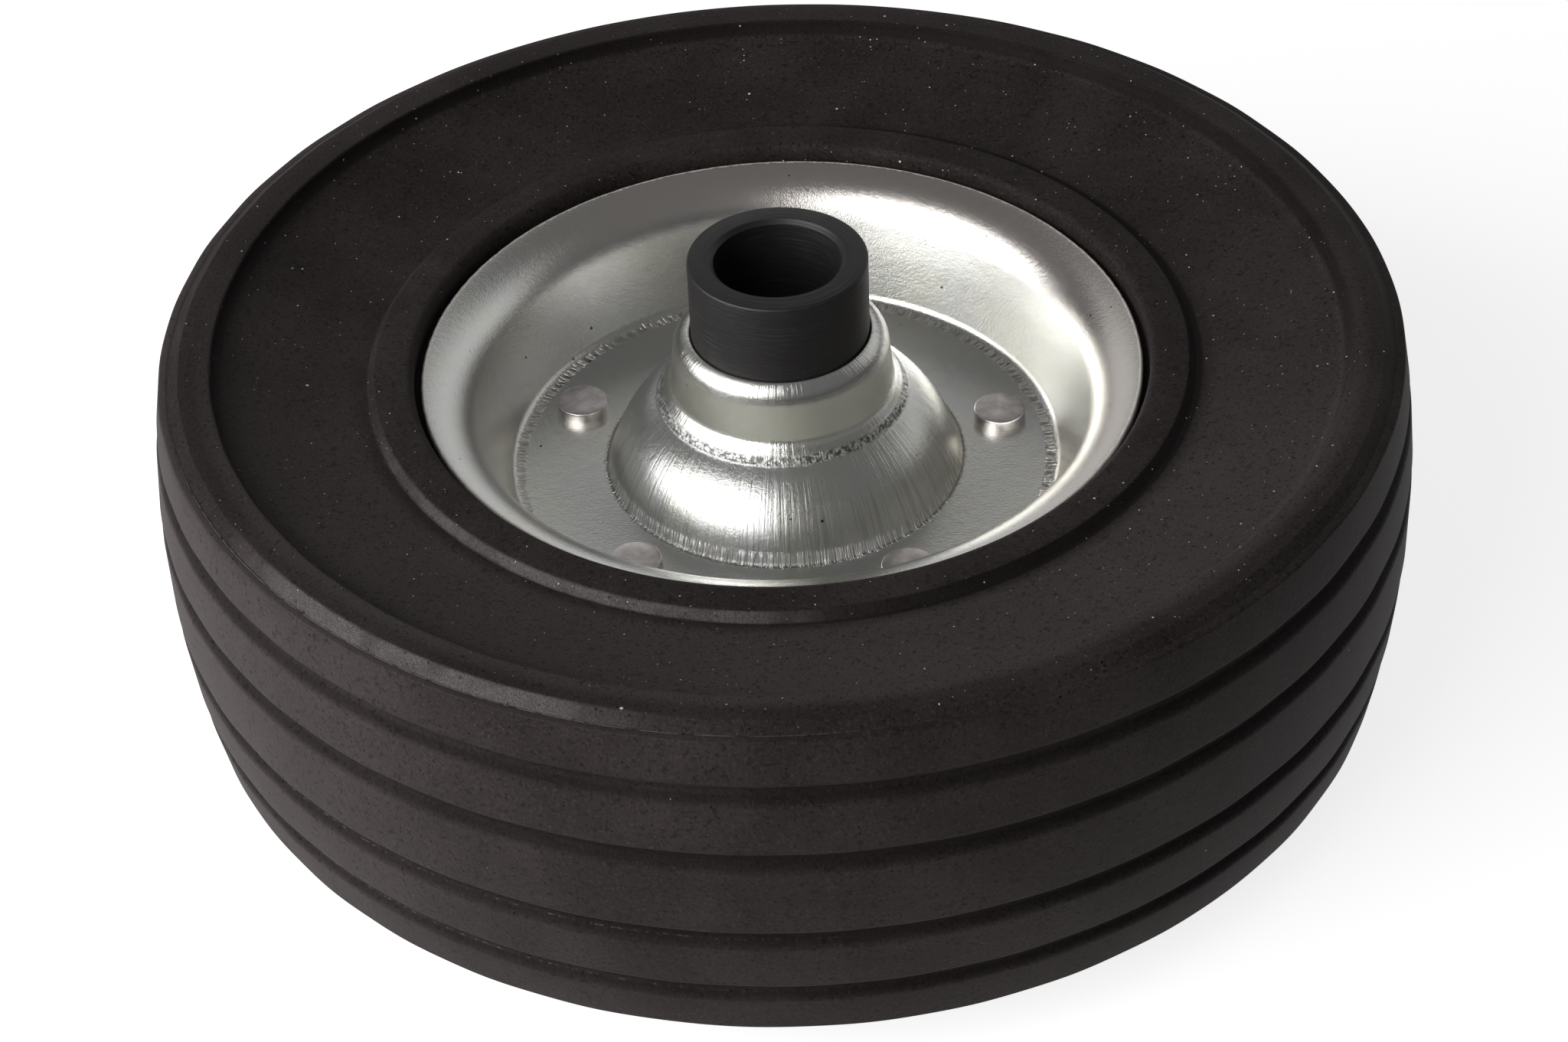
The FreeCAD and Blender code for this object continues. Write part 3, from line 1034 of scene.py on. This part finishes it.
@dataclass(frozen=True)
class Bush:
    """The turned plastic bush. Sizes in mm."""

    diameter: float = 28.2
    bore: float = 20.0
    length: float = 81.0
    chamfer: float = 0.7
    edge_rounding: float = 0.4
    steps: int = 256
    sag: float = 0.01
    longest: float = 20.0

    def build(self, finish: Material) -> Object:
        """Makes the bush's mesh."""
        half, bore = self.length / 2, self.bore / 2
        upper = [(bore, half - self.chamfer, 0.0), (bore + self.chamfer, half, 0.0),
                 (self.diameter / 2, half, self.edge_rounding)]
        section = section_points(upper + mirrored(upper), self.sag, self.longest)
        return turned_object("plastic_bush", section, self.steps, finish)


@dataclass(frozen=True)
class SoftBox:
    """A rectangular soft lamp that faces the wheel. Sizes in metres."""

    name: str
    towards: Place
    size: Point
    brightness: float
    tall: Place
    distance: float = 1.0

    def build(self) -> None:
        """Adds the lamp, its second size along the tall direction."""
        lamp = bpy.data.lights.new(self.name, "AREA")
        lamp.shape = "RECTANGLE"
        lamp.size, lamp.size_y = self.size
        lamp.energy = self.brightness * 4 * self.size[0] * self.size[1]
        made = add_object(self.name, lamp)
        out = Vector(self.towards).normalized()
        across = Vector(self.tall).cross(out).normalized()
        turned = Matrix((across, out.cross(across), out)).transposed().to_4x4()
        made.matrix_world = Matrix.Translation(out * self.distance) @ turned


@dataclass(frozen=True)
class Camera:
    """The camera, fitted to the rings of the wheel. Places in mm, focal length in pixels of a wide frame."""

    place: Place = (0.0, -443.03, 347.12)
    target: Place = (-0.6441, -40.9716, 21.2)
    roll: float = -2.48779
    focal_pixels: float = 4538.94
    frame_width: float = 2048.0
    sensor: float = 36.0
    clip: Point = (0.01, 20.0)

    def build(self) -> None:
        """Adds the camera and makes it the scene's."""
        data = bpy.data.cameras.new("camera")
        data.sensor_width = self.sensor
        data.lens = self.focal_pixels / self.frame_width * self.sensor
        data.clip_start, data.clip_end = self.clip
        place = Vector(self.place) * MM
        ahead = (Vector(self.target) * MM - place).normalized()
        right = ahead.cross(Vector((0, 0, 1))).normalized()
        up = right.cross(ahead)
        turn = math.radians(self.roll)
        across = right * math.cos(turn) + up * math.sin(turn)
        upward = up * math.cos(turn) - right * math.sin(turn)
        made = add_object("camera", data)
        turned = Matrix((across, upward, -ahead)).transposed().to_4x4()
        made.matrix_world = Matrix.Translation(place) @ turned
        bpy.context.scene.camera = made


@dataclass(frozen=True)
class Studio:
    """The floor, the wall on one side of the wheel and the lamp. Sizes in metres."""

    floor_radius: float = 3.0
    floor_gap: float = 0.0001
    wall_height: float = 2.5
    wall_start: float = math.radians(10.0)
    wall_steps: int = 32
    steps: int = 96
    pale: float = 0.5
    white: float = 0.80
    glow: float = 0.62
    glow_at_top: float = 0.34
    room_light: float = 0.17
    box: SoftBox = SoftBox("box_left", (-0.780, -0.440, 0.430), (1.44, 0.78), 3.6, (-0.235, 0.407, 1.0))

    def build(self) -> None:
        """Adds everything round the wheel."""
        pale = self.pale_surface()
        rim = [(self.floor_radius * math.cos(turn), self.floor_radius * math.sin(turn))
               for turn in (self.wall_start + 2 * math.pi * k / self.steps for k in range(self.steps))]
        ground = CAD_BOX[0].z - self.floor_gap
        low = [(x, y, ground) for x, y in rim]
        high = [(x, y, ground + self.wall_height) for x, y in rim]
        self.surface("floor", low, [tuple(range(self.steps))], pale)
        sides = [(k, k + 1, k + 1 + self.steps, k + self.steps) for k in range(self.wall_steps)]
        self.surface("backdrop", low + high, sides, pale)
        self.room()
        self.box.build()

    def pale_surface(self) -> Material:
        """The matte pale material, which glows for the camera, for mirrors and through clear things only."""
        material = bpy.data.materials.new("pale_surface")
        tree = Tree(emptied(material))
        path = tree.add("ShaderNodeLightPath").outputs
        mirrored_or_clear = tree.most(path["Is Glossy Ray"], path["Is Transmission Ray"])
        matte = tree.made("ShaderNodeBsdfDiffuse", {"Color": (self.pale,) * 3})
        height = tree.parts(tree.add("ShaderNodeNewGeometry").outputs["Position"])[2]
        fading = tree.ramp(height, 0.0, self.wall_height, self.glow, self.glow_at_top)
        seen = tree.times(path["Is Camera Ray"], self.white)
        shown = tree.math("MULTIPLY_ADD", mirrored_or_clear, fading, seen)
        glow = tree.made("ShaderNodeEmission", {"Strength": shown})
        both = tree.made("ShaderNodeAddShader", {0: matte, 1: glow})
        tree.add("ShaderNodeOutputMaterial", {"Surface": both})
        return material

    def surface(self, name: str, points: list, faces: list, material: Material) -> None:
        """Adds one surface of the studio."""
        mesh = bpy.data.meshes.new(name)
        mesh.from_pydata(points, [], faces)
        mesh.materials.append(material)
        add_object(name, mesh)

    def room(self) -> None:
        """Fills the surroundings with a plain grey light."""
        world = bpy.context.scene.world = bpy.data.worlds.new("room")
        tree = Tree(emptied(world))
        light = tree.made("ShaderNodeBackground", {"Strength": self.room_light})
        tree.add("ShaderNodeOutputWorld", {"Surface": light})


TURNED = TurnedShape()
RIVET_RING = RivetRing()


def main() -> None:
    """Builds the wheel's pieces, then the studio and the camera."""
    logging.basicConfig(level=logging.INFO, format="%(name)s: %(message)s")
    rim = RimHalf()
    rubber, zinc = MouldedRubber().material(), ZincPlate().material()
    plastic, steel = TurnedPlastic().material(), TurnedSteel().material()
    fit(Tyre().build(rim, rubber), Body.WHEEL, ["tyre"])
    for side in Side:
        fit(rim.build(side, zinc), Body.WHEEL, [f"{side.name.lower()}_rim_half"])
    rivets = Rivets()
    fit(rivets.build(rim, steel), Body.WHEEL, [f"rivet_{n + 1}" for n in range(rivets.count)])
    fit(Bush().build(plastic), Body.BUSH, ["hub_bush"])
    Camera().build()
    Studio().build()
    bpy.context.scene.view_settings.view_transform = "Standard"


if __name__ == "__main__":
    main()
